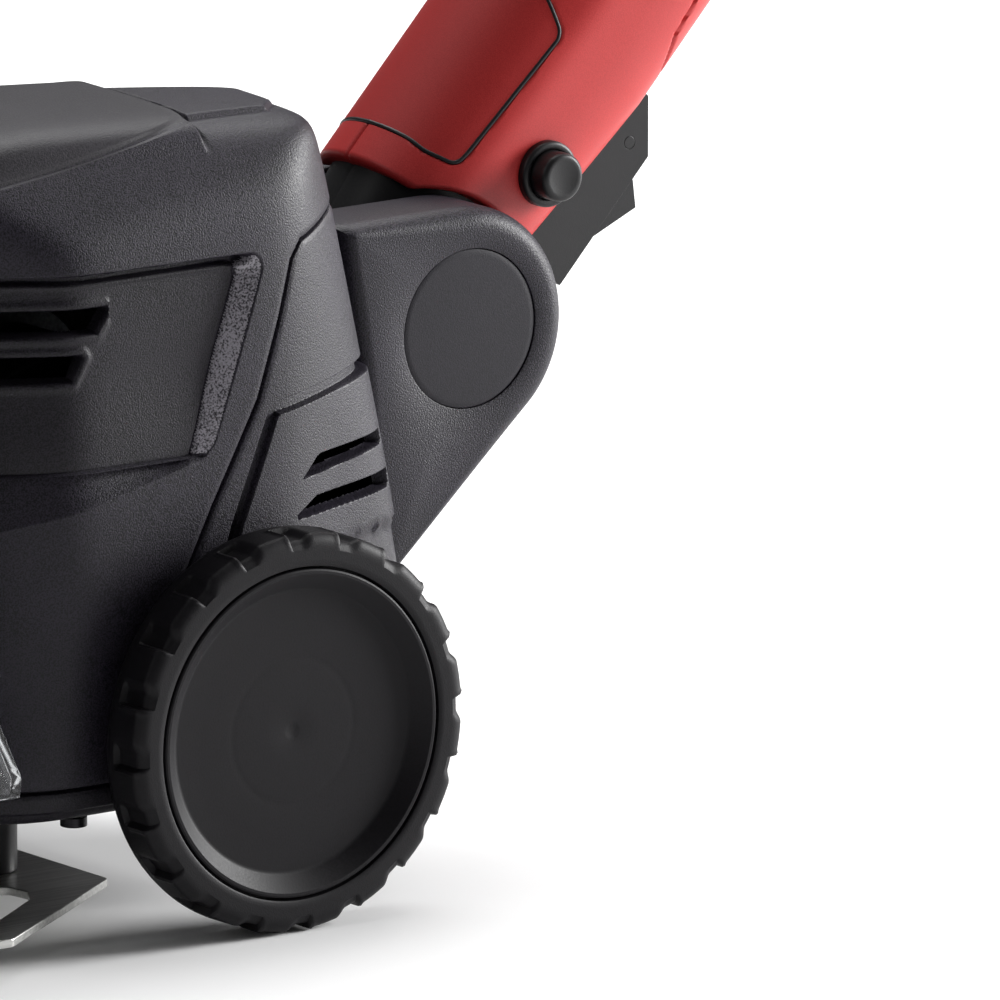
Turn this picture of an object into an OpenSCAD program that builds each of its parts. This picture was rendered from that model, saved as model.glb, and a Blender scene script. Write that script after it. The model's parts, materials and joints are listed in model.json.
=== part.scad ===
// Walk-behind lawn edger: wheeled head, tilting telescopic handle, side blade.
// X points to the machine's left, -Y forward and +Z up; the ground is Z = 0.

/* [Wheels] */
// Diameter of each wheel
wheel_d = 120; // [118:0.5:122]
// Width of each wheel
wheel_w = 17; // [15:0.5:18]
// Width over the wheels' outer faces
track_w = 200; // [199:0.5:204]
// Diameter of the axle
axle_d = 10; // [8:0.5:11]
// Number of grip notches around each wheel
notches = 20; // [12:1:24]

/* [Housing] */
// Width over the side walls
house_w = 160; // [156:0.5:162]
// Height of the top of the housing
house_top = 242; // [238:0.5:246]
// Height of the underside of the base tray
house_bottom = 34; // [32:0.5:36]
// Wall thickness of the mouldings
wall = 3; // [2.5:0.1:3.5]
// How far the vent panels reach behind the edge of their opening
panel_lap = 4; // [2:0.1:5]

/* [Handle joint] */
// Distance of the tilt axis behind the axle
pivot_y = 98; // [97:0.5:100]
// Height of the tilt axis
pivot_z = 160; // [159:0.5:162]
// Outer radius of the joint's two ears
ear_r = 36; // [34:0.5:36.5]
// Width over the ears
ear_w = 100; // [96:1:102]
// Lean of the handle above the horizontal
lean = 47; // [44:0.5:50]

/* [Cutting] */
// Distance of the blade spindle ahead of the axle
blade_ahead = 185; // [183:0.5:187]
// Height of the blade spindle
spindle_z = 86; // [85:0.5:90]
// Blade's cutting radius
blade_r = 82; // [78:0.5:82]
// Offset of the blade plane to the left
blade_x = 66; // [65:0.5:68]
// Thickness of the blade
blade_t = 2.6; // [2:0.1:3]
// Radius of the motor's belt pulley
pulley_small = 11; // [10:0.5:12]
// Ratio of the belt drive
belt_ratio = 3; // [2.8:0.1:3]

/* [Shaft] */
// Diameter of the fixed outer tube
tube_d = 28; // [27:0.5:29]
// Wall thickness of both tubes
tube_wall = 1.5; // [1.2:0.1:1.6]
// Distance along the handle from the tilt axis to the tube collar
collar_a = 325; // [315:1:335]
// Distance along the handle from the tilt axis to the rear grip
grip_a = 640; // [630:1:660]

/* [Hidden] */
$fn = 64;
eps = 0.01;
fit = 0.05;                          // radial running clearance
snug = 0.1;                          // gap between mouldings of one body
big = 1000;

axle_z = wheel_d / 2;
house_x = house_w / 2;
tray_top = house_bottom + 13;
cap_z = house_top - 11;              // parting between side shells and top cap
part_high = [44, 207];               // parting line to the rear shell, at the rear corner
part_top = [17, 199];                // its upper knee
part_low = [-25, 108];               // and its lower knee
motor_y = -45;
motor_z = 150;
motor_r = 30;
motor_x0 = -68;                      // right end of the motor
motor_x1 = 14;                       // left end, against the belt case
shaft_r = 3;
case_x0 = motor_x1;                  // belt case, right wall
case_x1 = 32;                        // belt case, parting to its cover
case_x2 = 50;                        // belt cover, left wall
case_r_motor = 24;
case_r_spindle = 44;
blade_y = -blade_ahead;
belt_len = norm([blade_y - motor_y, spindle_z - motor_z]);
belt_dir = atan2(spindle_z - motor_z, blade_y - motor_y);
pulley_big = pulley_small * belt_ratio;
pulley_x0 = 25;
pulley_x1 = 39;
belt_t = 2;
spindle_r = 6;
thread_r = 5;
guard_r = 88;                        // outer radius of the blade guard
guard_x0 = 56;
guard_x1 = 84;
guard_t = 2.5;
guard_z = 50;                        // lower edge of the guard
plate_t = 2.5;
plate_z = 10.5;
plate_rear = [53.5, -36.5];          // rear left corner of the guide plate
post_points = [[24, -58], [-24, -58], [24, -104], [-24, -104]];
tray_points = [[55, -50], [-55, -50], [55, 40], [-55, 40]];
ear_gap = 48;                        // space between the ears
pin_r = 6;
cap_r = 24;
cap_t = 3;
n_axis = 10;                         // the tube runs this far above the tilt axis
tube_r = tube_d / 2;
inner_r = tube_r - tube_wall - 0.1;
shell_half = 30;                     // half width of the lower handle shells
shell_front = 37;                    // their upper side
shell_rear = -29;                    // and their underside
shell_end = 250;
button_a = 57;
button_n = -5;
button_r = 7.5;
ring_r = 10;
lever_a = 87;
lever_n = -35;
grip_r = 19;
battery_a0 = grip_a + 125;
battery_a1 = grip_a + 210;
battery_n0 = -45;
aux_a = grip_a - 100;
aux_n = n_axis + 28;                 // tilt axis of the front handle, above the tube
aux_pin_r = 3;
bow_half = 45;
arm_x = 16.5;                        // middle of each upright arm of the front handle
elbow_n = 22;                        // where its arms turn outward
shoulder_n = 44;                     // and where they turn upward again
bow_r = 9;
trigger_a = grip_a + 24;
trigger_n = -2;

// The frame's origin is under the middle of the machine's length.
front_end = blade_y - guard_r;
rear_end = pivot_y + battery_a1 * cos(lean) - battery_n0 * sin(lean);
mid_y = (front_end + rear_end) / 2;

// ---------- helpers
module place() translate([0, -mid_y, 0]) children();
module yz(x0, x1) translate([x0, 0, 0]) rotate([90, 0, 90]) linear_extrude(x1 - x0) children();
module x_rod(y, z, r, x0, x1) translate([x0, y, z]) rotate([0, 90, 0]) cylinder(h = x1 - x0, r = r);
module x_ring(y, z, r1, r2, x0, x1) difference() {
    x_rod(y, z, r2, x0, x1);
    x_rod(y, z, r1, x0 - 1, x1 + 1);
}
module both_sides() {
    children();
    mirror([1, 0, 0]) children();
}
module soften(r) offset(r = r) offset(delta = -r) children();
// Local frame of the handle: Y runs along it from the tilt axis, Z is its upper side.
module on_handle() translate([0, pivot_y, pivot_z]) rotate([lean, 0, 0]) children();
module a_rod(n, r, a0, a1) translate([0, a1, n]) rotate([90, 0, 0]) cylinder(h = a1 - a0, r = r);
module block(x0, x1, y0, y1, z0, z1) translate([x0, y0, z0]) cube([x1 - x0, y1 - y0, z1 - z0]);

// ---------- housing
module side_profile() polygon([[-138, house_bottom], [-142, 70], [-138, 150], [-124, 208], [-96, 236],
    [-60, house_top], [20, house_top - 1], [38, house_top - 7], [48, 210], [77, 90], [80, 60],
    [72, house_bottom]]);
module plan_profile() polygon([[house_x, -62], [house_x, 8], [house_x - 28, 82], [28 - house_x, 82],
    [-house_x, 8], [-house_x, -62], [-41, -128], [-28, -144], [28, -144], [41, -128]]);
module section_profile() polygon([[73, house_bottom], [77, tray_top], [house_x, 100], [house_x, 200],
    [68, cap_z], [50, house_top + 1], [-50, house_top + 1], [-68, cap_z], [-house_x, 200],
    [-house_x, 100], [-77, tray_top], [-73, house_bottom]]);
module housing_solid(inset = 0) intersection() {
    yz(-big / 2, big / 2) offset(delta = -inset) soften(9) side_profile();
    linear_extrude(big) offset(delta = -inset) soften(10) plan_profile();
    translate([0, big / 2, 0]) rotate([90, 0, 0]) linear_extrude(big)
        offset(delta = -inset) soften(6) section_profile();
}
module rear_zone() yz(-big / 2, big / 2) polygon([[part_high[0], big], part_high, part_top, part_low,
    [part_low[0], -1], [big, -1], [big, big]]);
module belt_shape(r1, r2) translate([motor_y, motor_z]) rotate(belt_dir) hull() {
    circle(r1);
    translate([belt_len, 0]) circle(r2);
}
module case_envelope(gap) yz(case_x0 - gap, case_x2 + gap)
    belt_shape(case_r_motor + gap, case_r_spindle + gap);
module housing_walls() difference() {
    housing_solid();
    housing_solid(wall);
}
// The vent panel sits behind an opening in the side shell, its rear edge leaning forward.
module panel_outline() polygon([[-122, 201.5], [2, 200.5], [3, 196], [-16.5, 142], [-122, 141.5]]);
module panel_slots() for (z = [186, 172]) translate([-56 - 0.66 * (186 - z), z])
    for (k = [0:2]) translate([-20 * k, 0]) soften(1.5) polygon([[-15, -4], [4, -4], [7, 4], [-15, 4]]);
module rear_slots() for (z = [137, 124]) soften(1.5)
    polygon([[22, z - 5], [59, z - 5], [59, z + 2], [25, z + 3]]);
module front_shell() difference() {
    intersection() {
        housing_walls();
        block(0, big, -big / 2, big / 2, tray_top, cap_z);
    }
    rear_zone();
    yz(20, big) soften(3) panel_outline();
}
module side_panel() difference() {
    intersection() {
        yz(30, big) offset(delta = panel_lap) soften(3) panel_outline();
        difference() {
            housing_solid(wall);
            housing_solid(2 * wall);
        }
    }
    rear_zone();
    case_envelope(0.3);
    x_rod(motor_y, motor_z, motor_r + 1, 0, 1 - motor_x0);
    yz(30, big) panel_slots();
}
module front_shell_left() color("#2b2a2e") difference() {
    front_shell();
    case_envelope(0.3);
}
module front_shell_right() color("#2b2a2e") mirror([1, 0, 0]) front_shell();
module rear_shell() color("#29282c") difference() {
    intersection() {
        housing_walls();
        block(-big / 2, big / 2, -big / 2, big / 2, tray_top, big);
        rear_zone();
    }
    yz(30, big) rear_slots();
    yz(-big, -30) rear_slots();
    x_rod(0, axle_z, 8, -big / 2, big / 2);
    x_rod(pivot_y, pivot_z, ear_r + 2, -ear_gap / 2, ear_gap / 2);
}
module top_cap() color("#323136") difference() {
    intersection() {
        housing_walls();
        block(-big / 2, big / 2, -big / 2, big / 2, cap_z, big);
    }
    rear_zone();
}
module vent_panel_left() color("#2e2d32") side_panel();
module vent_panel_right() color("#2e2d32") mirror([1, 0, 0]) side_panel();
module base_tray() color("#242326") difference() {
    intersection() {
        housing_solid();
        block(-big / 2, big / 2, -big / 2, big / 2, house_bottom, tray_top);
    }
    intersection() {
        housing_solid(wall);
        block(-big / 2, big / 2, -big / 2, big / 2, house_bottom + wall, big);
    }
    case_envelope(0.3);
    for (p = post_points) translate([p[0], p[1], 0]) cylinder(h = 60, r = 2.6);
    for (p = tray_points) translate([p[0], p[1], 0]) cylinder(h = 60, r = 2.1);
}
module pan_screw(z0, len, r_head, r_body) translate([0, 0, z0]) union() {
    cylinder(h = 3, r = r_head);
    cylinder(h = 3 + len, r = r_body);
}
module base_screws() color("#8a8a8c") {
    for (p = tray_points) translate([p[0], p[1], 0]) pan_screw(house_bottom - 3, 14, 4, 2);
    for (p = post_points) translate([p[0], p[1], 0]) pan_screw(plate_z - 3, 30, 4.6, 2.5);
}

// ---------- motor and belt drive
module motor_can() color("#6f7276") difference() {
    x_rod(motor_y, motor_z, motor_r, motor_x0, motor_x1);
    x_rod(motor_y, motor_z, motor_r - 3, motor_x0 + 8, motor_x1 - 10);
    x_rod(motor_y, motor_z, 9, motor_x0 - 1, motor_x0 + 6);
    x_rod(motor_y, motor_z, 9, motor_x1 - 8, motor_x1 + 1);
    x_rod(motor_y, motor_z, 5, motor_x0 - 1, motor_x1 + 1);
    for (turn = [0:60:300]) translate([0, motor_y, motor_z]) rotate([turn, 0, 0])
        block(motor_x0 + 10, motor_x0 + 20, -4, 4, motor_r - 8, motor_r + 2);
}
module motor_bearings() color("#b9bbbe") {
    x_ring(motor_y, motor_z, shaft_r + fit, 9, motor_x0, motor_x0 + 6);
    x_ring(motor_y, motor_z, shaft_r + fit, 9, motor_x1 - 8, motor_x1 - 2);
}
module motor_shaft() color("#c4c6c9") x_rod(motor_y, motor_z, shaft_r, motor_x0 + 1, pulley_x1 + 2);
module armature() color("#8c5a35") union() {
    x_ring(motor_y, motor_z, shaft_r, 11, -48, -43);
    for (turn = [0:60:300]) translate([0, motor_y, motor_z]) rotate([turn, 0, 0])
        block(-42, -4, -7, 7, 10, 24);
    x_ring(motor_y, motor_z, shaft_r, 16, -43, -3);
}
module motor_fan() color("#3c3c40") union() {
    x_ring(motor_y, motor_z, shaft_r, 9, -57, -49);
    for (turn = [0:40:320]) translate([0, motor_y, motor_z]) rotate([turn, 0, 0])
        block(-56, -50, -1, 1, 8.5, 25);
}
module motor_pulley() color("#9a9ca0")
    x_ring(motor_y, motor_z, shaft_r, pulley_small, pulley_x0, pulley_x1);
module drive_belt() color("#1c1c1e") yz(pulley_x0 + 1, pulley_x1 - 1) difference() {
    belt_shape(pulley_small + belt_t, pulley_big + belt_t);
    belt_shape(pulley_small + 0.2, pulley_big + 0.2);
}
module belt_case() color("#3a3b3e") difference() {
    yz(case_x0, case_x1) belt_shape(case_r_motor, case_r_spindle);
    yz(case_x0 + wall, case_x1 + 1) belt_shape(case_r_motor - wall, case_r_spindle - wall);
    x_rod(motor_y, motor_z, 5, 0, case_x1);
    x_rod(blade_y, spindle_z, 14, 0, case_x1);
}
module belt_cover() color("#333437") difference() {
    yz(case_x1, case_x2) belt_shape(case_r_motor, case_r_spindle);
    yz(case_x1 - 1, case_x2 - wall) belt_shape(case_r_motor - wall, case_r_spindle - wall);
    x_rod(blade_y, spindle_z, 14, 0, big);
}
module spindle_bearings() color("#b9bbbe") {
    x_ring(blade_y, spindle_z, spindle_r + fit, 14, case_x0, case_x0 + 8);
    x_ring(blade_y, spindle_z, spindle_r + fit, 14, case_x2 - 8, case_x2);
}
module spindle() color("#c4c6c9") union() {
    x_rod(blade_y, spindle_z, spindle_r, case_x0, blade_x - blade_t / 2 - eps);
    x_rod(blade_y, spindle_z, thread_r, blade_x - 3, blade_x + 13);
}
module spindle_pulley() color("#8f9195") difference() {
    x_rod(blade_y, spindle_z, pulley_big, pulley_x0, pulley_x1);
    x_rod(blade_y, spindle_z, spindle_r, 0, 60);
    for (turn = [0:60:300]) translate([0, blade_y, spindle_z]) rotate([turn, 0, 0])
        x_rod(0, 20, 7, 0, 60);
}
module inner_flange() color("#b4b6b9")
    x_ring(blade_y, spindle_z, spindle_r, 17, case_x2 + 2, blade_x - blade_t / 2);
module outer_flange() color("#b4b6b9")
    x_ring(blade_y, spindle_z, thread_r, 17, blade_x + blade_t / 2, blade_x + 4);
module blade() color("#c9cbce") difference() {
    translate([0, blade_y, spindle_z]) rotate([35, 0, 0]) yz(blade_x - blade_t / 2, blade_x + blade_t / 2)
        intersection() {
            circle(blade_r);
            union() {
                square([2 * blade_r, 42], center = true);
                circle(28);
            }
        }
    x_rod(blade_y, spindle_z, thread_r, 0, 100);
}
module blade_nut() color("#9fa1a4") difference() {
    x_rod_hex(8.5, blade_x + 4, blade_x + 11);
    x_rod(blade_y, spindle_z, thread_r, 0, 100);
}
module x_rod_hex(r, x0, x1) translate([x0, blade_y, spindle_z]) rotate([0, 90, 0])
    cylinder(h = x1 - x0, r = r, $fn = 6);

// ---------- blade guard and guide plate
module guard_outline(r) {
    translate([blade_y, spindle_z]) circle(r);
    polygon([[blade_y, spindle_z - 60], [blade_y + r + 5, guard_z - 20], [blade_y + r + 8, guard_z + 6],
        [blade_y + r - 2, spindle_z - 8], [blade_y, spindle_z]]);
}
module blade_guard() color("#d8dde2", 0.4) difference() {
    yz(guard_x0, guard_x1) guard_outline(guard_r);
    yz(case_x2 + eps, guard_x1 - guard_t) guard_outline(guard_r - guard_t);
    block(0, 200, -400, 0, -10, guard_z);
    case_envelope(0);
    housing_solid(-1);
}
module plate_half() {
    tip = plate_rear + [46, -75];
    polygon([[-1, plate_rear[1]], plate_rear, plate_rear + [46, -67], tip, tip + [-10, 2],
        plate_rear + [8, -34], plate_rear + [0, -29], plate_rear + [-8, -30], plate_rear + [-13, -38],
        plate_rear + [-13, -88], [-1, plate_rear[1] - 88]]);
}
module guide_plate() color("#b7b9bb") translate([0, 0, plate_z]) difference() {
    linear_extrude(plate_t) offset(r = -3) offset(delta = 3) soften(3) {
        plate_half();
        mirror([1, 0]) plate_half();
    }
    for (p = post_points) translate([p[0], p[1], -1]) cylinder(h = 10, r = 2.6);
}
module guide_posts() color("#2a292c") for (p = post_points) translate([p[0], p[1], plate_z + plate_t])
    difference() {
        cylinder(h = house_bottom - plate_z - plate_t, r = 8);
        translate([0, 0, -1]) cylinder(h = 60, r = 2.6);
    }

// ---------- wheels
module axle() color("#b9bbbe") difference() {
    x_rod(0, axle_z, axle_d / 2, -track_w / 2 + 6.6, track_w / 2 - 6.6);
    both_sides() x_ring(0, axle_z, axle_d / 2 - 1, axle_d, track_w / 2 - 8.9, track_w / 2 - 7.7);
}
module axle_bushes() color("#d9d4c6") both_sides() {
    x_ring(0, axle_z, axle_d / 2 + fit, 8, house_x - 14, house_x);
    x_ring(0, axle_z, axle_d / 2 + fit, 11, house_x, track_w / 2 - wheel_w - 0.4);
}
module axle_clips() color("#8a8c90") both_sides()
    x_ring(0, axle_z, axle_d / 2 - 1, 9, track_w / 2 - 8.9, track_w / 2 - 7.7);
module wheel() translate([track_w / 2, 0, axle_z]) difference() {
    rotate([0, 90, 0]) rotate_extrude() difference() {
        polygon([[axle_d / 2 + fit, -wheel_w], [13, -wheel_w], [13, -13], [49.8, -13], [49.8, -wheel_w],
            [wheel_d / 2 - 1.5, -wheel_w], [wheel_d / 2, -wheel_w + 1.5], [wheel_d / 2, -2],
            [wheel_d / 2 - 2, 0], [49.8, 0], [49.8, -6], [43, -6], [43, -9], [axle_d / 2 + fit, -9]]);
    }
    for (k = [0:notches - 1]) rotate([k * 360 / notches, 0, 0])
        translate([-6, 0, wheel_d / 2 + 2.6]) rotate([0, 90, 0]) cylinder(h = 10, r = 5);
}
module hub_cap() translate([track_w / 2, 0, axle_z]) rotate([0, 90, 0]) rotate_extrude()
    polygon([[0, -6], [49.4, -6], [49.4, -0.4], [48.6, 0], [46.5, 0], [43, -4], [3, -4], [0, -4.4]]);
module wheel_left() color("#252427") wheel();
module wheel_right() color("#252427") mirror([1, 0, 0]) wheel();
module hub_cap_left() color("#2c2b2f") hub_cap();
module hub_cap_right() color("#2c2b2f") mirror([1, 0, 0]) hub_cap();

// ---------- handle joint
module ear_outline() {
    translate([pivot_y, pivot_z]) circle(ear_r);
    polygon([[pivot_y, pivot_z], [pivot_y, pivot_z + ear_r], [50, pivot_z + ear_r], [20, 150], [60, 88],
        [pivot_y + 24, pivot_z - 26.5]]);
}
module pivot_bracket() color("#2a292d") difference() {
    union() {
        both_sides() yz(ear_gap / 2, ear_w / 2) ear_outline();
        yz(-ear_gap / 2 - 1, ear_gap / 2 + 1) intersection() {
            ear_outline();
            polygon([[0, 80], [100, 80], [pivot_y - ear_r + 18, 116], [58, 112], [0, 112]]);
        }
    }
    housing_solid();
    both_sides() {
        x_rod(pivot_y, pivot_z, cap_r + snug, ear_w / 2 - cap_t, ear_w);
        x_rod(pivot_y, pivot_z, pin_r, 0, ear_w / 2 - cap_t + 1);
        x_ring(pivot_y, pivot_z, 12, ear_r - 4, ear_gap / 2 - 1, ear_w / 2 - cap_t - 4);
    }
}
module pivot_cap_left() color("#37363c") x_rod(pivot_y, pivot_z, cap_r, ear_w / 2 - cap_t, ear_w / 2);
module pivot_cap_right() color("#37363c") mirror([1, 0, 0])
    x_rod(pivot_y, pivot_z, cap_r, ear_w / 2 - cap_t, ear_w / 2);
module pivot_pin() color("#b9bbbe")
    x_rod(pivot_y, pivot_z, pin_r, -ear_w / 2 + cap_t, ear_w / 2 - cap_t);
module handle_neck() color("#1f1e21") on_handle() difference() {
    union() {
        x_rod(0, 0, ear_r - 6, 1 - ear_gap / 2, ear_gap / 2 - 1);
        yz(1 - ear_gap / 2, ear_gap / 2 - 1)
            polygon([[0, -22], [40, -19], [85, -19], [85, 33.5], [26, 33.5], [8, 28]]);
    }
    x_rod(0, 0, pin_r + fit, -50, 50);
    a_rod(n_axis, tube_r, 48, 90);
    x_rod(button_a, button_n, button_r + 1, 10, 50);
}

// ---------- lower handle
module lower_side(inset = 0) offset(delta = -inset) soften(5) polygon([[ear_r + 2, -24],
    [95, shell_rear], [150, shell_rear], [shell_end - 15, -12], [shell_end, -10], [shell_end, 26],
    [shell_end - 15, 27], [160, shell_front], [28, shell_front], [31, 26], [ear_r + 2, 12]]);
module lower_section(inset = 0) offset(delta = -inset) soften(16)
    polygon([[-shell_half, shell_rear], [shell_half, shell_rear], [shell_half, shell_front],
        [-shell_half, shell_front]]);
module lower_plan(inset = 0) offset(delta = -inset) polygon([[-shell_half, 20], [shell_half, 20],
    [shell_half, 150], [20, shell_end], [-20, shell_end], [-shell_half, 150]]);
module lower_solid(inset = 0) intersection() {
    yz(-50, 50) lower_side(inset);
    rotate([90, 0, 180]) mirror([1, 0, 0]) translate([0, 0, -20]) linear_extrude(big) lower_section(inset);
    translate([0, 0, -100]) linear_extrude(300) lower_plan(inset);
}
module inlay_zone(grow = 0) yz(0.01, 50) offset(delta = grow) soften(4) polygon([[38, 60], [36, 40], [38, 24],
    [46, 20.5], [92, 18], [99, 26], [99, 40], [112, 60]]);
module neck_room() {
    yz(-ear_gap / 2 + 0.8, ear_gap / 2 - 0.8)
        polygon([[0, -22.2], [40, -19.2], [85.2, -19.2], [85.2, 33.7], [0, 33.7]]);
    x_rod(0, 0, ear_r + 1, -50, 50);
}
module lower_shell() difference() {
    intersection() {
        difference() {
            lower_solid();
            lower_solid(wall);
        }
        block(0, 50, 0, shell_end + 10, -50, 60);
    }
    neck_room();
    a_rod(n_axis, tube_r + snug, 0, shell_end + 20);
    inlay_zone(0.2);
}
module inlay() intersection() {
    difference() {
        lower_solid();
        lower_solid(wall);
    }
    difference() {
        inlay_zone(-1);
        neck_room();
    }
}
module lower_shell_left() color("#c93f3e") on_handle() difference() {
    lower_shell();
    x_rod(button_a, button_n, ring_r - 1.5, 10, 50);
}
module lower_shell_right() color("#c93f3e") on_handle() mirror([1, 0, 0]) lower_shell();
module inlay_left() color("#b93536") on_handle() inlay();
module inlay_right() color("#b93536") on_handle() mirror([1, 0, 0]) inlay();
module button_ring() color("#161517") on_handle() {
    x_ring(button_a, button_n, button_r + snug, ring_r, shell_half, shell_half + 3);
    x_ring(button_a, button_n, button_r + snug, ring_r - 1.5, shell_half - 5, shell_half + eps);
}
module side_button() color("#19181a") on_handle() difference() {
    x_rod(button_a, button_n, button_r, 22, shell_half + 9.5);
    x_rod(button_a, button_n, 5.8, 21, 27);
}
module button_spring() color("#a9abae") on_handle()
    x_ring(button_a, button_n, 4, 5.5, 10.05, 22);
module underside_cover() color("#1d1c1f") on_handle() difference() {
    yz(-15, 15) polygon([[ear_r + 1, -21], [40, -43.5], [88, -43.5], [101.5, -31], [101.5, -22]]);
    yz(-12.5, 12.5) polygon([[ear_r + 4, -20], [43, -41], [86.5, -41], [99, -30], [99, -20]]);
    block(-11, 11, 48, 86, -50, -36);
    lower_solid();
    neck_room();
    x_rod(lever_a, lever_n, 2, -20, 20);
}
module tilt_lever() color("#19181a") on_handle() union() {
    yz(-10, 10) polygon([[50, -42.5], [57, -46], [75.5, -54], [81, -47.5], [83.5, -40.5], [89, -38],
        [91, -34], [88, -31.5], [80, -33], [50, -39]]);
    x_rod(lever_a, lever_n, 1.95, -15, 15);
}
module outer_tube() color("#b4b6b9") on_handle() difference() {
    a_rod(n_axis, tube_r, 48, collar_a);
    a_rod(n_axis, tube_r - tube_wall, 60, collar_a + 1);
}
module tube_collar() color("#1d1c1f") on_handle() difference() {
    union() {
        a_rod(n_axis, tube_r + 5, collar_a - 30, collar_a + 25);
        block(-14, 14, collar_a - 8, collar_a + 20, n_axis - tube_r - 14, n_axis);
    }
    a_rod(n_axis, tube_r, collar_a - 31, collar_a);
    a_rod(n_axis, inner_r + fit, collar_a - 1, collar_a + 26);
    block(-1, 1, collar_a - 9, collar_a + 26, n_axis - tube_r - 15, n_axis);
    x_rod(collar_a + 14, n_axis - tube_r - 8, 2.1, -20, 20);
}
module collar_lever() color("#b83435") on_handle() union() {
    x_rod(collar_a + 14, n_axis - tube_r - 8, 2.05, -18, 18);
    both_sides() x_rod(collar_a + 14, n_axis - tube_r - 8, 6, 14.3, 18);
    both_sides() block(14.3, 18, collar_a - 34, collar_a + 14, n_axis - tube_r - 14, n_axis - tube_r - 6);
    block(-18, 18, collar_a - 40, collar_a - 34, n_axis - tube_r - 14, n_axis - tube_r - 6);
}

// ---------- upper handle
module inner_tube() color("#bfc1c4") on_handle() difference() {
    a_rod(n_axis, inner_r, 190, grip_a);
    a_rod(n_axis, inner_r - tube_wall, 189, grip_a + 1);
}
module upper_solid(inset = 0) {
    a_rod(n_axis, grip_r - inset, grip_a - 60 + inset, grip_a + 130);
    a_rod(n_axis, grip_r + 4 - inset, grip_a - 30 + inset, grip_a + 12 - inset);
    block(-38 + inset, 38 - inset, battery_a0 - 15 + inset, battery_a1 - inset, 12 + inset, 40 - inset);
}
module upper_shell() difference() {
    intersection() {
        difference() {
            upper_solid();
            upper_solid(wall);
        }
        block(0, 60, 500, 900, -60, 60);
    }
    a_rod(n_axis, inner_r, 500, grip_a + 1);
    block(-6.4, 6.4, trigger_a - 6, trigger_a + 44, n_axis - grip_r - 2, n_axis - 8);
    block(-5.3, 5.3, trigger_a - 2, trigger_a + 14, n_axis + 8, n_axis + grip_r + 3);
    x_rod(trigger_a, trigger_n, 2, -13.2, 13.2);
    x_rod(battery_a1 - 12, 26, 4, -50, 50);
    block(-38.5, 38.5, battery_a0 - 0.5, battery_a1 + 1, -50, 12.2);
}
module upper_shell_left() color("#232225") on_handle() upper_shell();
module upper_shell_right() color("#232225") on_handle() mirror([1, 0, 0]) upper_shell();
module trigger() color("#b83435") on_handle() union() {
    yz(-6, 6) polygon([[trigger_a - 3, -5.5], [trigger_a - 3, 2], [trigger_a + 30, 1], [trigger_a + 36, -6],
        [trigger_a + 37, -14], [trigger_a + 30, -17], [trigger_a + 12, -14], [trigger_a + 4, -6]]);
    x_rod(trigger_a, trigger_n, 1.95, -13, 13);
}
module lock_off() color("#b83435") on_handle()
    block(-4.9, 4.9, trigger_a - 1.5, trigger_a + 13.5, n_axis + 12, n_axis + grip_r + 3);
module battery() color("#2a292c") on_handle() union() {
    block(-36, 36, battery_a0, battery_a1, battery_n0, 6);
    block(-24, 24, battery_a0, battery_a1 - 6, 6 - eps, 11.9);
}
module aux_clamp() color("#1d1c1f") on_handle() difference() {
    union() {
        a_rod(n_axis, inner_r + 6, aux_a - 15, aux_a + 15);
        yz(-11.8, 11.8) translate([aux_a, 0]) {
            translate([0, aux_n]) circle(10);
            translate([-10, n_axis]) square([20, aux_n - n_axis]);
        }
    }
    a_rod(n_axis, inner_r, aux_a - 16, aux_a + 16);
    x_rod(aux_a, aux_n, aux_pin_r + fit, -20, 20);
}
module limb(from, to, r) {
    run = to - from;
    translate(from) rotate([0, atan2(run[0], run[2]), 0]) cylinder(h = norm(run), r = r);
}
module aux_handle() color("#232225") on_handle() translate([0, aux_a, aux_n]) difference() {
    union() {
        both_sides() {
            x_rod(0, 0, 9, 12, 24);
            limb([arm_x, 0, 0], [arm_x, 0, elbow_n], 7);
            translate([arm_x, 0, elbow_n]) sphere(r = 7);
            limb([arm_x, 0, elbow_n], [bow_half, 0, shoulder_n], 7);
            translate([bow_half, 0, shoulder_n]) sphere(r = bow_r);
            translate([bow_half, 0, shoulder_n]) cylinder(h = 60 - shoulder_n, r = bow_r);
        }
        translate([0, 0, 60]) rotate([90, 0, 0]) rotate_extrude(angle = 180)
            translate([bow_half, 0]) circle(bow_r);
    }
    x_rod(0, 0, aux_pin_r + fit, -30, 30);
    block(-12, 12, -12, 12, -12, 20);
}
module aux_knob() color("#b83435") on_handle() translate([0, aux_a, aux_n]) union() {
    x_rod(0, 0, aux_pin_r, -24, 25);
    difference() {
        x_rod(0, 0, 13, 24.3, 37);
        for (turn = [0:60:300]) rotate([turn, 0, 0]) x_rod(0, 16, 5, 20, 40);
    }
}

place() front_shell_left();
place() front_shell_right();
place() rear_shell();
place() top_cap();
place() vent_panel_left();
place() vent_panel_right();
place() base_tray();
place() base_screws();
place() motor_can();
place() motor_bearings();
place() belt_case();
place() belt_cover();
place() drive_belt();
place() spindle_bearings();
place() blade_guard();
place() guide_plate();
place() guide_posts();
place() axle();
place() axle_bushes();
place() axle_clips();
place() pivot_bracket();
place() pivot_cap_left();
place() pivot_cap_right();
place() pivot_pin();
place() motor_shaft();
place() armature();
place() motor_fan();
place() motor_pulley();
place() spindle();
place() spindle_pulley();
place() inner_flange();
place() blade();
place() outer_flange();
place() blade_nut();
place() wheel_left();
place() hub_cap_left();
place() wheel_right();
place() hub_cap_right();
place() handle_neck();
place() lower_shell_left();
place() lower_shell_right();
place() inlay_left();
place() inlay_right();
place() button_ring();
place() side_button();
place() button_spring();
place() underside_cover();
place() tilt_lever();
place() outer_tube();
place() tube_collar();
place() collar_lever();
place() inner_tube();
place() upper_shell_left();
place() upper_shell_right();
place() trigger();
place() lock_off();
place() battery();
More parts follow.
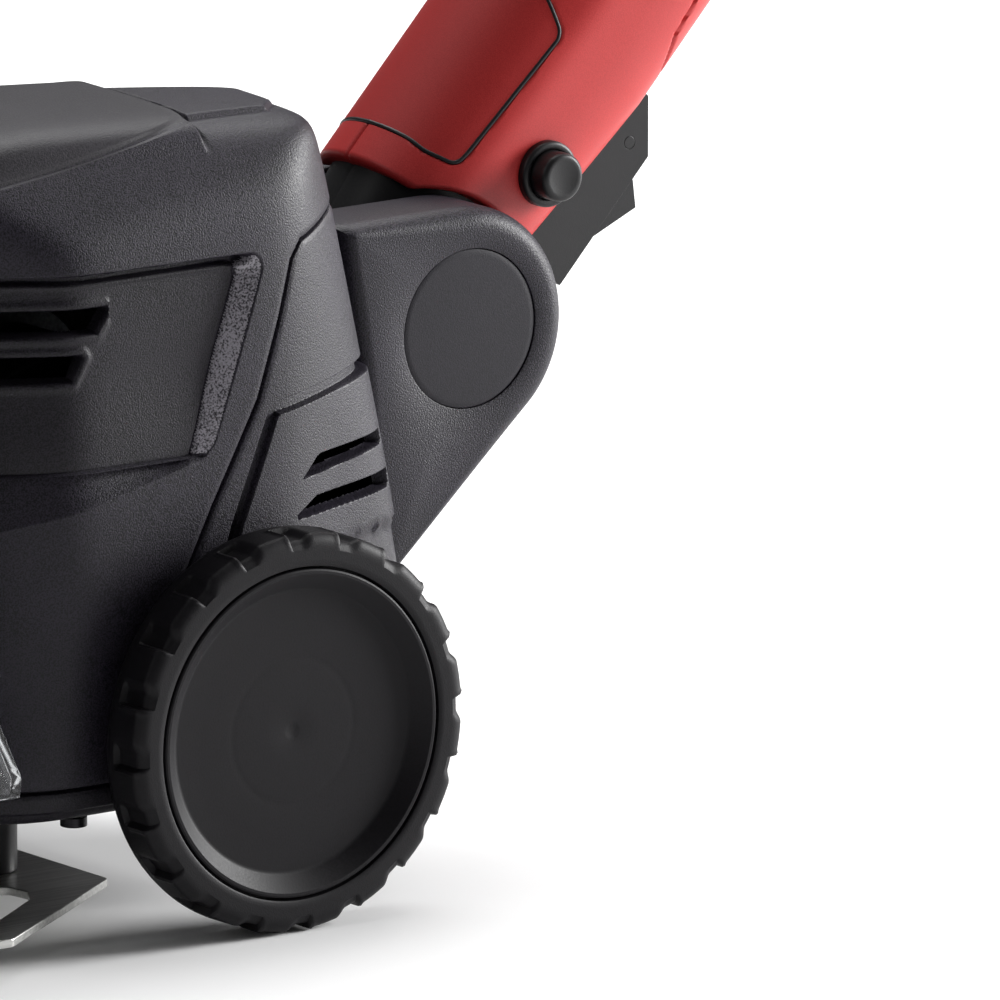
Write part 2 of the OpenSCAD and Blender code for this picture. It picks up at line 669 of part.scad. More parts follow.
place() aux_clamp();
place() aux_handle();
place() aux_knob();
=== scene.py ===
import json
import math

import bmesh
import bpy
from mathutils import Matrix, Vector


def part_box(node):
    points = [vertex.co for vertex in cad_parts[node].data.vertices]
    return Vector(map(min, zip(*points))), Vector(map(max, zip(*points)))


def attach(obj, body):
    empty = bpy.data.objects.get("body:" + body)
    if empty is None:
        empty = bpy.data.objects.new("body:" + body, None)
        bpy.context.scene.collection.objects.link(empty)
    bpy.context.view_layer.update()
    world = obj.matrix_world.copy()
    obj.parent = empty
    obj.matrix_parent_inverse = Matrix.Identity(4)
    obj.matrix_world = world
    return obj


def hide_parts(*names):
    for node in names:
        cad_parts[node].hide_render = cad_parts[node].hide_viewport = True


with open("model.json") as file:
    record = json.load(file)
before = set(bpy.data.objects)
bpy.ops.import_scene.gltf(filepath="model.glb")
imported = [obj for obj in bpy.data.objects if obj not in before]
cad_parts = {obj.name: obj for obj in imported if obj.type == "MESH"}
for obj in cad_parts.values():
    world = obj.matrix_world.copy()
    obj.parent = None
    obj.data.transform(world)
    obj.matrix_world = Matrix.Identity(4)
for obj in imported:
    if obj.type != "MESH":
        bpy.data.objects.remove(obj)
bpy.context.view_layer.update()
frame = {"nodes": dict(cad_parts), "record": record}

mm = 0.001
nodes = frame["nodes"]
record = frame["record"]
bodyOf = {n: body for body, names in record["behaviour"]["bodies"].items() for n in names}
slotOf = {row["node"]: row["material_slot"] for row in record["subparts"]}

# places, all worked out from the frame
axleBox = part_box("axle")
axleY = (axleBox[0].y + axleBox[1].y) / 2 / mm
axleZ = (axleBox[0].z + axleBox[1].z) / 2 / mm
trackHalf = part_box("wheel_left")[1].x / mm
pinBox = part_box("pivot_pin")
pivotY = (pinBox[0].y + pinBox[1].y) / 2 / mm - axleY
pivotZ = (pinBox[0].z + pinBox[1].z) / 2 / mm
slideAxis = [j for j in record["behaviour"]["joints"] if j["name"] == "telescope"][0]["axis"]
lean = math.atan2(slideAxis[2], slideAxis[1])


def headPoint(x, y, z):  # from the ground under the axle's middle
    return Vector((x * mm, (axleY + y) * mm, z * mm))


def handlePoint(x, a, n):  # a runs up the handle from the tilt pin, n towards its upper side
    y = pivotY + a * math.cos(lean) - n * math.sin(lean)
    z = pivotZ + a * math.sin(lean) + n * math.cos(lean)
    return headPoint(x, y, z)


def smoothStep(low, high, value):
    t = min(1, max(0, (value - low) / (high - low)))
    return t * t * (3 - 2 * t)


def segmentDistance(p, a, b):
    dx, dy = b[0] - a[0], b[1] - a[1]
    t = ((p[0] - a[0]) * dx + (p[1] - a[1]) * dy) / (dx * dx + dy * dy)
    t = min(1, max(0, t))
    return math.hypot(p[0] - a[0] - t * dx, p[1] - a[1] - t * dy)


def lineDistance(p, line, closed=False):
    ends = line[1:] + line[:1] if closed else line[1:]
    return min(segmentDistance(p, a, b) for a, b in zip(line, ends))


def insideOf(p, outline):
    hit = False
    for a, b in zip(outline, outline[1:] + outline[:1]):
        if (a[1] > p[1]) != (b[1] > p[1]) and p[0] < (b[0] - a[0]) * (p[1] - a[1]) / (b[1] - a[1]) + a[0]:
            hit = not hit
    return hit


def signedDistance(p, outline):  # positive inside
    d = lineDistance(p, outline, True)
    return d if insideOf(p, outline) else -d


# finishes
def newFinish(name, colour, roughness, metallic=0.0):
    finish = bpy.data.materials.new(name)
    finish.use_nodes = True
    shader = finish.node_tree.nodes["Principled BSDF"]
    shader.inputs["Base Color"].default_value = (*colour, 1)
    shader.inputs["Roughness"].default_value = roughness
    shader.inputs["Metallic"].default_value = metallic
    return finish, shader


def grainField(finish, scale, detail=2.0, stretch=None):
    tree = finish.node_tree
    place = tree.nodes.new("ShaderNodeTexCoord")
    noise = tree.nodes.new("ShaderNodeTexNoise")
    noise.inputs["Scale"].default_value = scale
    noise.inputs["Detail"].default_value = detail
    source = place.outputs["Object"]
    if stretch:
        mapping = tree.nodes.new("ShaderNodeMapping")
        mapping.inputs["Scale"].default_value = stretch
        tree.links.new(source, mapping.inputs["Vector"])
        source = mapping.outputs["Vector"]
    tree.links.new(source, noise.inputs["Vector"])
    return noise.outputs["Fac"]


def ramp(finish, source, stops):
    node = finish.node_tree.nodes.new("ShaderNodeValToRGB")
    elements = node.color_ramp.elements
    for element, (place, colour) in zip(elements, (stops[0], stops[-1])):
        element.position = place
        element.color = (*colour, 1)
    for place, colour in stops[1:-1]:
        elements.new(place).color = (*colour, 1)
    finish.node_tree.links.new(source, node.inputs["Fac"])
    return node.outputs["Color"]


def bump(finish, shader, source, strength, distance):
    node = finish.node_tree.nodes.new("ShaderNodeBump")
    node.inputs["Strength"].default_value = strength
    node.inputs["Distance"].default_value = distance
    finish.node_tree.links.new(source, node.inputs["Height"])
    finish.node_tree.links.new(node.outputs["Normal"], shader.inputs["Normal"])


def mouldedFinish(name, dark, light, roughness, grainSize, depth, spread=0.06, specular=0.5):
    finish, shader = newFinish(name, light, roughness[0])
    tree = finish.node_tree
    grain = grainField(finish, 1 / (grainSize * mm), 1.5)
    cloud = grainField(finish, 28, 3)
    mix = tree.nodes.new("ShaderNodeMath")
    mix.operation = "MULTIPLY_ADD"
    mix.inputs[1].default_value = 0.25
    tree.links.new(cloud, mix.inputs[0])
    tree.links.new(grain, mix.inputs[2])
    tree.links.new(ramp(finish, mix.outputs[0], [(0.5 - spread, dark), (0.72 + spread, light)]),
                   shader.inputs["Base Color"])
    gloss = tree.nodes.new("ShaderNodeMapRange")
    gloss.inputs["From Min"].default_value = 0.3
    gloss.inputs["From Max"].default_value = 0.7
    gloss.inputs["To Min"].default_value = roughness[0]
    gloss.inputs["To Max"].default_value = roughness[1]
    tree.links.new(grain, gloss.inputs["Value"])
    tree.links.new(gloss.outputs["Result"], shader.inputs["Roughness"])
    shader.inputs["Specular IOR Level"].default_value = specular
    bump(finish, shader, grain, depth, 0.16 * mm)
    return finish


def brushedFinish(name, colour, roughness, stretch, strength=0.25):
    finish, shader = newFinish(name, colour, roughness, 1.0)
    lines = grainField(finish, 900, 3, stretch)
    shade = tuple(c * 0.72 for c in colour)
    finish.node_tree.links.new(ramp(finish, lines, [(0.35, shade), (0.65, colour)]),
                               shader.inputs["Base Color"])
    bump(finish, shader, lines, strength, 0.05 * mm)
    return finish


charcoal = mouldedFinish("charcoalTextured", (0.003, 0.0026, 0.0042), (0.022, 0.0185, 0.029),
                         (0.38, 0.56), 0.50, 1.0, 0.0, 0.27)
# a darker copy of the charcoal: painted shade for the recessed vent panels and the base tray low under the
# head
charcoalShaded = mouldedFinish("charcoalPaintedShade", (0.0024, 0.0021, 0.0033), (0.016, 0.0135, 0.020),
                             (0.38, 0.56), 0.50, 1.0, 0.0, 0.25)
# a lighter copy of the charcoal with a coarser grain: its lighter colour is painted light on the slope behind
# the vent panel
charcoalStripPaintedLit = mouldedFinish("charcoalStripPaintedLit", (0.020, 0.018, 0.023), (0.30, 0.285, 0.32),
                              (0.28, 0.42), 0.60, 1.0, 0.0, 0.5)
charcoalCap = mouldedFinish("charcoalCap", (0.008, 0.007, 0.0095), (0.020, 0.0175, 0.0235),
                            (0.42, 0.58), 0.50, 0.6, 0.02, 0.28)
smoothGrey = mouldedFinish("smoothGrey", (0.007, 0.0062, 0.0095), (0.014, 0.012, 0.018),
                           (0.46, 0.58), 0.40, 0.3, 0.03, 0.26)
softBlack = mouldedFinish("softBlack", (0.0025, 0.0025, 0.003), (0.006, 0.0055, 0.007),
                          (0.38, 0.50), 0.35, 0.2, 0.06, 0.32)
wheelBlack = mouldedFinish("wheelBlack", (0.0026, 0.0023, 0.0032), (0.0058, 0.0050, 0.0068),
                           (0.44, 0.56), 0.45, 0.3, 0.04, 0.18)
hubBlack = mouldedFinish("hubBlack", (0.003, 0.0026, 0.0036), (0.0054, 0.0046, 0.0064),
                         (0.46, 0.54), 0.6, 0.12, 0.06, 0.16)
handleRed = mouldedFinish("handleRed", (0.37, 0.018, 0.018), (0.46, 0.028, 0.027),
                          (0.40, 0.50), 0.35, 0.2, 0.06, 0.35)
inlayRed = mouldedFinish("inlayRed", (0.30, 0.011, 0.011), (0.39, 0.020, 0.019),
                         (0.46, 0.56), 0.3, 0.25, 0.06, 0.35)
beltRubber = mouldedFinish("beltRubber", (0.012, 0.012, 0.012), (0.022, 0.022, 0.022),
                           (0.7, 0.8), 0.25, 0.3)
bushNylon = mouldedFinish("bushNylon", (0.60, 0.56, 0.48), (0.70, 0.66, 0.58),
                          (0.45, 0.55), 0.5, 0.1)
copper = brushedFinish("copperWire", (0.70, 0.32, 0.16), 0.35, (1, 0.1, 1))
plateSteel = brushedFinish("plateSteel", (0.62, 0.62, 0.60), 0.34, (1, 0.03, 1), 0.35)
turnedSteel = brushedFinish("turnedSteel", (0.66, 0.66, 0.67), 0.28, (0.05, 1, 1), 0.15)
motorSteel = brushedFinish("motorSteel", (0.40, 0.41, 0.43), 0.42, (0.1, 1, 1), 0.2)
screwSteel = brushedFinish("screwSteel", (0.035, 0.034, 0.037), 0.42, (1, 1, 0.2), 0.2)
tubeAluminium = brushedFinish("tubeAluminium", (0.72, 0.72, 0.73), 0.32, (1, 0.12, 0.12), 0.15)


def clearFinish():
    finish, shader = newFinish("guardClear", (0.93, 0.95, 0.97), 0.06)
    shader.inputs["Transmission Weight"].default_value = 1.0
    shader.inputs["IOR"].default_value = 1.46
    haze = grainField(finish, 140, 3)
    bump(finish, shader, haze, 0.08, 0.1 * mm)
    return finish


guardClear = clearFinish()
finishOf = {"charcoal_plastic": charcoal, "smooth_plastic": smoothGrey, "black_plastic": softBlack,
            "red_plastic": handleRed, "deep_red_plastic": inlayRed, "wheel_plastic": wheelBlack,
            "hub_plastic": hubBlack, "clear_plastic": guardClear, "brushed_steel": plateSteel,
            "bright_steel": turnedSteel, "motor_steel": motorSteel, "copper_winding": copper,
            "belt_rubber": beltRubber, "bush_nylon": bushNylon, "tube_aluminium": tubeAluminium}
for name, obj in nodes.items():
    obj.data.materials.clear()
    obj.data.materials.append(finishOf[slotOf[name]])
print("finishes ready:", len(finishOf))


# making pieces
def addTrim(name, bm, finish, node, sharp=38):  # a piece on the node's body, standing for no node
    mesh = bpy.data.meshes.new(name)
    bm.to_mesh(mesh)
    bm.free()
    mesh.shade_smooth()
    mesh.set_sharp_from_angle(angle=math.radians(sharp))
    mesh.materials.append(finish)
    piece = bpy.data.objects.new(name, mesh)
    bpy.context.scene.collection.objects.link(piece)
    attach(piece, bodyOf[node])
    return piece


def addPiece(name, bm, finish, node, sharp=38):  # a piece that stands for a node
    piece = addTrim(name, bm, finish, node, sharp)
    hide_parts(node)
    return piece


def sideName(name, side):
    return name + ("Left" if side > 0 else "Right")


def meshFrom(points, faces):
    bm = bmesh.new()
    corners = [bm.verts.new(p) for p in points]
    for face in faces:
        ring = [corners[i] for i in face]
        if len(set(ring)) > 2:
            try:
                bm.faces.new(ring)
            except ValueError:
                pass
    bmesh.ops.remove_doubles(bm, verts=bm.verts, dist=0.002 * mm)
    bmesh.ops.recalc_face_normals(bm, faces=bm.faces)
    return bm


def gridFaces(rows, columns, closed=False):
    across = columns if closed else columns - 1
    return [(r * columns + c, r * columns + (c + 1) % columns, (r + 1) * columns + (c + 1) % columns,
             (r + 1) * columns + c) for r in range(rows - 1) for c in range(across)]


def roundedNode(node, width, finish=None, segments=2, sharp=40, angle=32):
    bm = bmesh.new()
    bm.from_mesh(nodes[node].data)
    bmesh.ops.remove_doubles(bm, verts=bm.verts, dist=0.01 * mm)
    bmesh.ops.dissolve_limit(bm, angle_limit=math.radians(1.5), verts=bm.verts, edges=bm.edges)
    name = "".join(word.capitalize() for word in node.split("_"))
    piece = addPiece(name, bm, finish or finishOf[slotOf[node]], node, sharp)
    bevel = piece.modifiers.new("softEdge", "BEVEL")
    bevel.width = width * mm
    bevel.segments = segments
    bevel.limit_method = "ANGLE"
    bevel.angle_limit = math.radians(angle)
    bevel.use_clamp_overlap = True
    bevel.harden_normals = False
    bevel.miter_outer = "MITER_ARC"
    return piece


# housing
housing = {"centre": (0, -32, 140), "power": 40, "grid": 2.4, "seam": 0.7, "seamDepth": 2.0,
           "recess": 5.0, "topRim": 3.3, "rearRim": 6.2, "slotDepth": 4.5}
sideProfile = [(-138, 34), (-142, 70), (-138, 150), (-124, 208), (-96, 232), (-60, 241.5), (28, 241.5),
               (38, 236), (43, 222), (46.5, 206), (75, 90), (78, 60), (72, 34)]
planProfile = [(80, -62), (80, 8), (52, 82), (-52, 82), (-80, 8), (-80, -62), (-41, -128), (-28, -144),
               (28, -144), (41, -128)]
sectionProfile = [(73, 34), (77, 47), (80, 100), (80, 202), (75, 223), (65, 236), (50, 243), (-50, 243),
                  (-65, 236), (-75, 223), (-80, 202), (-80, 100), (-77, 47), (-73, 34)]
roofSlopes = [((0.056, 0.0317, 0.998), (0, -8, 240)), ((0.765, -0.0886, 0.638), (61, -8, 236)),
              ((0.75, 0.63, 0.143), (57, 43, 210))]
partingLine = [(44, 236), (44, 207), (18.5, 201), (14, 196), (8.7, 179), (0.6, 156), (-15.7, 126.5),
               (-25, 108), (-25, 47)]
panelOutline = [(-122, 201.5), (-3, 200.5), (1, 199), (2.6, 196), (2, 192), (-15.5, 144.5), (-19, 142),
                (-122, 141.5)]
archLine = [(62, 158), (8, 152.6), (6, 151), (-7.4, 119), (-9.5, 112)]
slotTops = [186, 172.3]
panelSlots = [[(-118, z - 4), (-54.6 - 0.66 * (186 - z), z - 4), (-49.6 - 0.7 * (186 - z), z + 3),
               (-50.6 - 0.7 * (186 - z), z + 4), (-118, z + 4)] for z in slotTops]
rearSlots = [[(18.4, 129.4), (57.0, 132.2), (57.8, 133), (57, 136.6), (27, 135.8), (25, 135)],
             [(16.4, 117.6), (60, 118.8), (61, 119.6), (60.6, 124.4), (25, 123.5), (23.5, 122.8), (16, 119)]]
padOutline = [(-8, -52), (22, -52), (29, -45), (29, 45), (22, 52), (-8, 52)]
trayTop = 47
skirtZ = 41


def wallPlanes():
    cx, cy, cz = housing["centre"]
    planes = []
    for profile, first, second, centre in ((sideProfile, 1, 2, (cy, cz)), (planProfile, 0, 1, (cx, cy)),
                                           (sectionProfile, 0, 2, (cx, cz))):
        for a, b in zip(profile, profile[1:] + profile[:1]):
            n = (b[1] - a[1], a[0] - b[0])
            size = math.hypot(*n)
            n = (n[0] / size, n[1] / size)
            d = n[0] * (a[0] - centre[0]) + n[1] * (a[1] - centre[1])
            if d < 0:
                n, d = (-n[0], -n[1]), -d
            normal = [0, 0, 0]
            normal[first], normal[second] = n
            planes.append(tuple(v / d for v in normal))
    for (nx, ny, nz), (px, py, pz) in roofSlopes:
        d = nx * (px - cx) + ny * (py - cy) + nz * (pz - cz)
        planes += [(nx / d, ny / d, nz / d), (-nx / d, ny / d, nz / d)]
    return planes


housePlanes = wallPlanes()


def onHousing(p):  # the point of the outer skin in the direction of p
    cx, cy, cz = housing["centre"]
    ux, uy, uz = p[0] - cx, p[1] - cy, p[2] - cz
    reach = [ux * a + uy * b + uz * c for a, b, c in housePlanes]
    most = max(reach)
    total = sum((r / most) ** housing["power"] for r in reach if r > 0.6 * most)
    k = 1 / (most * total ** (1 / housing["power"]))
    return (cx + ux * k, cy + uy * k, cz + uz * k)


def roofDrop(x, y, z):  # the roof falls away beyond a ridge that runs a little right of the middle
    ridge = 13 + 0.447 * (y + 9) if y > -8 else 4 + 0.3 * (y + 8)
    far = max(0, ridge - x) * 0.913
    return 0.25 * far * far / (far + 4) * smoothStep(205, 236, z)


def capLine(y):  # height of the joint under the top cap
    return 235.5 + 0.125 * (y + 8)


def seamDepth(distance, depth=None):
    w = housing["seam"]
    deep = depth or housing["seamDepth"]
    if distance > 3 * w:
        return 0
    return deep * (1 - smoothStep(0.35 * w, w, distance)) + 0.3 * (1 - smoothStep(w, 3 * w, distance))


panelTop = ((-122, 201.5), (2, 200.4))
panelRear = ((3, 196), (-16.2, 142))
panelBottom = ((-16, 142), (-122, 141.5))


def sideOf(p, edge):  # distance into the panel from one of its edges
    (ax, ay), (bx, by) = edge
    length = math.hypot(bx - ax, by - ay)
    return ((p[0] - ax) * (by - ay) - (p[1] - ay) * (bx - ax)) / length


def panelFields(y, z):
    return sideOf((y, z), panelTop), sideOf((y, z), panelRear), sideOf((y, z), panelBottom)


def roundMin(p, q, k):  # smaller of two distances, with a rounded corner
    return k - math.hypot(k - p, k - q) if p < k and q < k else min(p, q)


def panelRims(y, z):  # distances into the opening, into the panel plate and above the lower edge
    top, rear, low = panelFields(y, z)
    outer = roundMin(roundMin(top, rear, 7), low + 0.5, 5)
    inner = roundMin(top - housing["topRim"], rear - housing["rearRim"], 4.5)
    return outer, inner, low, top, rear


def rearMore(top, rear):  # how far the rear rim is ahead of the top rim
    return (rear - housing["rearRim"]) - (top - housing["topRim"])


def scoopWide(y):  # height of the hollow under the panel
    return 2.0 + max(0, -24 - y) * 0.235


def recessDepth(y, z):
    outer, inner, low, top, rear = panelRims(y, z)
    if outer > -0.5 and low > -0.6:
        deep = housing["recess"] * (0.5 + 0.5 * smoothStep(0, 30, low))
        across = 1 if inner > 0 else min(1, max(0, outer / max(0.01, outer - inner)))
        upper = smoothStep(-1.5, 1.5, rearMore(top, rear))
        wall = upper * smoothStep(0, 0.35, across) + (1 - upper) * across
        gap = 2.0 * upper * (1 - smoothStep(-0.9, 0.1, inner)) * smoothStep(0.15, 0.4, across)
        ridge = 0.4 * upper * (1 - smoothStep(0.2, 1.0, abs(inner - 0.8)))
        foot = 0.8 * (1 - upper) * (1 - smoothStep(0.2, 0.8, abs(inner)))
        rim = 1.4 * (1 - smoothStep(0.2, 0.9, abs(low))) * smoothStep(1, 4, rear)
        inside = (deep * wall + gap + foot - ridge) * smoothStep(-0.2, 0.9, low)
        return (inside + rim) * smoothStep(-0.5, 0, outer)
    if low < 0 and y < -18:
        if -low < scoopWide(y):
            return 4.2 * (1 + low / scoopWide(y)) * smoothStep(-18, -32, y)
    return 0


def housingDepth(p):  # how far each feature goes into the skin
    x, y, z = abs(p[0]), p[1], p[2]
    depth = 0
    if z > 45 and abs(y - 10) < 45:
        depth = max(depth, seamDepth(lineDistance((y, z), partingLine)))
    if z > trayTop - 4 and z < trayTop + 4:
        depth = max(depth, seamDepth(abs(z - trayTop)))
    if z < skirtZ:
        depth = max(depth, 0.9 * smoothStep(skirtZ, skirtZ - 1, z))
    if y < -8 and abs(z - capLine(y)) < 3:
        depth = max(depth, 0.5 * (1 - smoothStep(0.2, 0.9, abs(z - capLine(y)))))
    if x > 30:
        if -124 < y < 4 and 100 < z < 206:
            depth = max(depth, recessDepth(y, z))
            for slot in panelSlots:
                if y < -50 and abs(z - slot[0][1] - 4) < 8:
                    into = signedDistance((y, z), slot)
                    depth += housing["slotDepth"] * smoothStep(-0.1, 0.9, into)
                    depth -= 0.5 * (1 - smoothStep(0.5, 1.6, abs(into + 1.2)))
        if y > -12 and 108 < z < 165:
            away = lineDistance((y, z), archLine)
            depth = max(depth, 2.3 * (1 - smoothStep(1.5, 2.3, away)) * smoothStep(64, 58, y))
            if insideOf((y, z), archLine + [(-9.5, 60), (90, 60), (90, 158)]):
                depth -= 1.6 * smoothStep(1.9, 2.6, away) * smoothStep(30, 62, y)
            for slot in rearSlots:
                into = signedDistance((y, z), slot)
                if into > -2:
                    depth += housing["slotDepth"] * smoothStep(-0.1, 0.9, into)
    if z > 226:
        away = signedDistance((y, p[0]), padOutline)
        depth -= 1.9 * smoothStep(-1.4, 1.2, away)
        depth -= 2.3 * smoothStep(-7.6, -9.0, y) * smoothStep(228, 235, z)
        depth += 1.0 * (1 - smoothStep(0.3, 1.2, abs(y + 7.4))) * smoothStep(228, 235, z)
    return depth


def featureDistance(p):
    x, y, z = abs(p[0]), p[1], p[2]
    found = [abs(z - trayTop), abs(z - skirtZ) + 0.6]
    if y < -6:
        found.append(abs(z - capLine(y)) + 0.4)
    found.append(lineDistance((y, z), partingLine))
    if x > 30:
        found.append(lineDistance((y, z), panelOutline, True))
        if -124 < y < 5 and 140 < z < 203:
            outer, inner = panelRims(y, z)[:2]
            found += [abs(outer), abs(inner)]
        if y < -22 and 110 < z < 142:
            found.append(abs(-sideOf((y, z), panelBottom) - scoopWide(y)) + 0.8)
        if y < 0:
            found += [lineDistance((y, z), slot, True) for slot in panelSlots]
        if y > -14:
            found += [lineDistance((y, z), slot, True) for slot in rearSlots]
            found.append(max(0, lineDistance((y, z), archLine) - 1.8))
    if z > 228:
        found += [lineDistance((y, p[0]), padOutline, True) + 0.6, abs(y + 8) + 0.2]
    return min(found)


def housingHalf():
    size = (0, 80, -144, 82, 34, 243)
    step = housing["grid"]
    points, faces = [], []

    def patch(u0, u1, v0, v1, place):
        rows = round((u1 - u0) / step) + 1
        columns = round((v1 - v0) / step) + 1
        start = len(points)
        for i in range(rows):
            for j in range(columns):
                u = u0 + (u1 - u0) * i / (rows - 1)
                v = v0 + (v1 - v0) * j / (columns - 1)
                points.append(Vector(onHousing(place(u, v))))
        faces.extend(tuple(start + k for k in f) for f in gridFaces(rows, columns))

    patch(size[2], size[3], size[4], size[5], lambda u, v: (size[1], u, v))
    patch(size[2], size[3], size[0], size[1], lambda u, v: (v, u, size[5]))
    patch(size[2], size[3], size[0], size[1], lambda u, v: (v, u, size[4]))
    patch(size[4], size[5], size[0], size[1], lambda u, v: (v, size[2], u))
    patch(size[4], size[5], size[0], size[1], lambda u, v: (v, size[3], u))
    bm = bmesh.new()
    corners = [bm.verts.new(p) for p in points]
    for f in faces:
        bm.faces.new([corners[k] for k in f])
    bmesh.ops.remove_doubles(bm, verts=bm.verts, dist=0.02)
    for reach in (3.6, 2.0, 1.15):
        near = [f for f in bm.faces if f.calc_center_median().z > 35
                and featureDistance(f.calc_center_median()) < reach + 0.35 * math.sqrt(f.calc_area())]
        edges = list({e for f in near for e in f.edges})
        bmesh.ops.subdivide_edges(bm, edges=edges, cuts=1, use_grid_fill=True)
    for v in bm.verts:
        v.co = onHousing(v.co)
        if abs(v.co.x) < 0.01:
            v.co.x = 0
    bmesh.ops.recalc_face_normals(bm, faces=bm.faces)
    bm.normal_update()
    cx, cy, cz = housing["centre"]
    moved = []
    for v in bm.verts:
        n = v.normal.copy()
        if n.dot(v.co - Vector((cx, cy, cz))) < 0:
            n = -n
        if v.co.x == 0:
            n.x = 0
        moved.append(v.co - n * housingDepth(v.co))
    labels = {}
    for f in bm.faces:
        c = f.calc_center_median()
        labels[f.index] = housingPart(c)
    for v, place in zip(bm.verts, moved):
        v.co = place
    return bm, labels


def onStrip(y, z):  # the slope behind the vent panel, which gets a coarser grain and a lighter colour that is painted light
    outer, inner, low, top, rear = panelRims(y, z)
    return outer > 0.5 and inner < -0.3 and low > 0.6 and rearMore(top, rear) < 0


def housingPart(c):
    y, z = c.y, c.z
    if z < trayTop:
        return "base_tray"
    rear = y > 44 or (y > -25 and insideOf((y, z), partingLine + [(300, 47), (300, 236)]))
    if c.x > 30 and rear:
        for slot in rearSlots:
            if signedDistance((y, z), slot) > 0.9:
                return "open"
    if rear:
        return "rear_shell"
    if y < -8 and z > capLine(y):
        return "top_cap"
    if c.x > 30:
        for slot in panelSlots:
            if signedDistance((y, z), slot) > 0.9:
                return "open"
        inner, low = panelRims(y, z)[1:3]
        if inner > 0 and low > 0.2 and y > -120:
            return "vent_panel"
    return "front_shell"


def buildHousing():
    bm, labels = housingHalf()
    bm.verts.index_update()
    bm.faces.ensure_lookup_table()
    coords = [v.co.copy() for v in bm.verts]
    groups = {}
    for f in bm.faces:
        groups.setdefault(labels[f.index], []).append([v.index for v in f.verts])
    bm.free()

    def shell(name, node, parts, finish, sides):
        points, faces, coarsePaintedLit = [], [], []
        for side in sides:
            known = {}
            for part in parts:
                for face in groups[part]:
                    ring = []
                    for k in face:
                        if k not in known:
                            known[k] = len(points)
                            c = coords[k]
                            points.append(headPoint(side * c.x, c.y, c.z - roofDrop(side * c.x, c.y, c.z)))
                        ring.append(known[k])
                    faces.append(ring if side > 0 else ring[::-1])
                    middle = sum((coords[k] for k in face), Vector()) / len(face)
                    # faces of the slope behind the vent panel, which take the lighter charcoal as painted
                    # light
                    coarsePaintedLit.append(middle.x > 40 and part == "front_shell" and onStrip(middle.y, middle.z))
        skin = bmesh.new()
        made = [skin.verts.new(p) for p in points]
        for ring, roughLit in zip(faces, coarsePaintedLit):
            skin.faces.new([made[k] for k in ring]).material_index = int(roughLit)
        bmesh.ops.remove_doubles(skin, verts=skin.verts, dist=0.01 * mm)
        bmesh.ops.recalc_face_normals(skin, faces=skin.faces)
        middle = headPoint(*housing["centre"])
        facing = sum((f.calc_center_median() - middle).dot(f.normal) * f.calc_area() for f in skin.faces)
        if facing < 0:
            bmesh.ops.reverse_faces(skin, faces=skin.faces)
        piece = addPiece(name, skin, finish, node, 50)
        # second slot: the lighter charcoal, painted light on the slope behind the vent panel
        if any(coarsePaintedLit):
            piece.data.materials.append(charcoalStripPaintedLit)
        print(name, len(piece.data.polygons))
        return piece

    shell("FrontShellLeft", "front_shell_left", ["front_shell"], charcoal, (1,))
    shell("FrontShellRight", "front_shell_right", ["front_shell"], charcoal, (-1,))
    # the vent panels in their recess and the base tray take the darker charcoal as painted shade
    shell("VentPanelLeft", "vent_panel_left", ["vent_panel"], charcoalShaded, (1,))
    shell("VentPanelRight", "vent_panel_right", ["vent_panel"], charcoalShaded, (-1,))
    shell("RearShell", "rear_shell", ["rear_shell"], charcoal, (1, -1))
    shell("TopCap", "top_cap", ["top_cap"], charcoalCap, (1, -1))
    shell("BaseTray", "base_tray", ["base_tray"], charcoalShaded, (1, -1))


buildHousing()
print("housing ready")

# wheels and hub caps
wheel = {"radius": 60, "bore": 5.1, "notches": 20, "notchDeep": 1.9, "notchHalf": 3.4, "notchReach": 11}


def latheX(profile, turns, centre, x0=0, side=1, alter=None):
    points = []
    for x, r in profile:
        for k in range(turns):
            angle = 2 * math.pi * k / turns
            radius = alter(x, r, angle) if alter else r
            points.append(headPoint(side * (x0 + x), centre[0] + radius * math.sin(angle),
                                    centre[1] + radius * math.cos(angle)))
    return points, gridFaces(len(profile), turns, True)


def treadRadius(x, r, angle):
    if r < 55:
        return r
    pitch = 2 * math.pi / wheel["notches"]
    off = ((angle + pitch / 2) % pitch - pitch / 2) * wheel["radius"]
    half = wheel["notchHalf"]
    into = smoothStep(-half - 0.7, -half + 0.3, off) * (1 - smoothStep(half - 2.8, half + 1.4, off))
    reach = smoothStep(-wheel["notchReach"] - 0.8, -wheel["notchReach"] + 0.4, x)
    outer = smoothStep(55, 57.5, r)
    ridge = 0.45 * reach * (1 - smoothStep(0.2, 1.2, abs(off + half + 1.2)))
    return r - 0.5 - (wheel["notchDeep"] * into * reach - ridge) * outer


def addWheel(side, node):
    profile = [(-17, wheel["bore"]), (-17, 47), (-14, 47.5), (-14, 50.5), (-17, 51), (-17, 56.5)]
    profile += [(-16.6, 58.3), (-15.4, 59.6), (-14, 60)]
    profile += [(-13.5 + 0.9 * k, 60) for k in range(12)]
    profile += [(-2.6, 60), (-2.0, 59.8), (-1.3, 59.2), (-0.7, 58.4), (-0.25, 57.4), (-0.02, 56.2), (0, 55),
                (0, 52), (0, 50.4), (-0.3, 49.9), (-1.0, 49.75), (-4.0, 49.7), (-4.0, 47.0),
                (-6.5, 44), (-6.5, wheel["bore"])]
    points, faces = latheX(profile + profile[:1], 480, (0, axleZ), trackHalf, side, treadRadius)
    return addPiece(sideName("Wheel", side), meshFrom(points, faces), wheelBlack, node, 32)


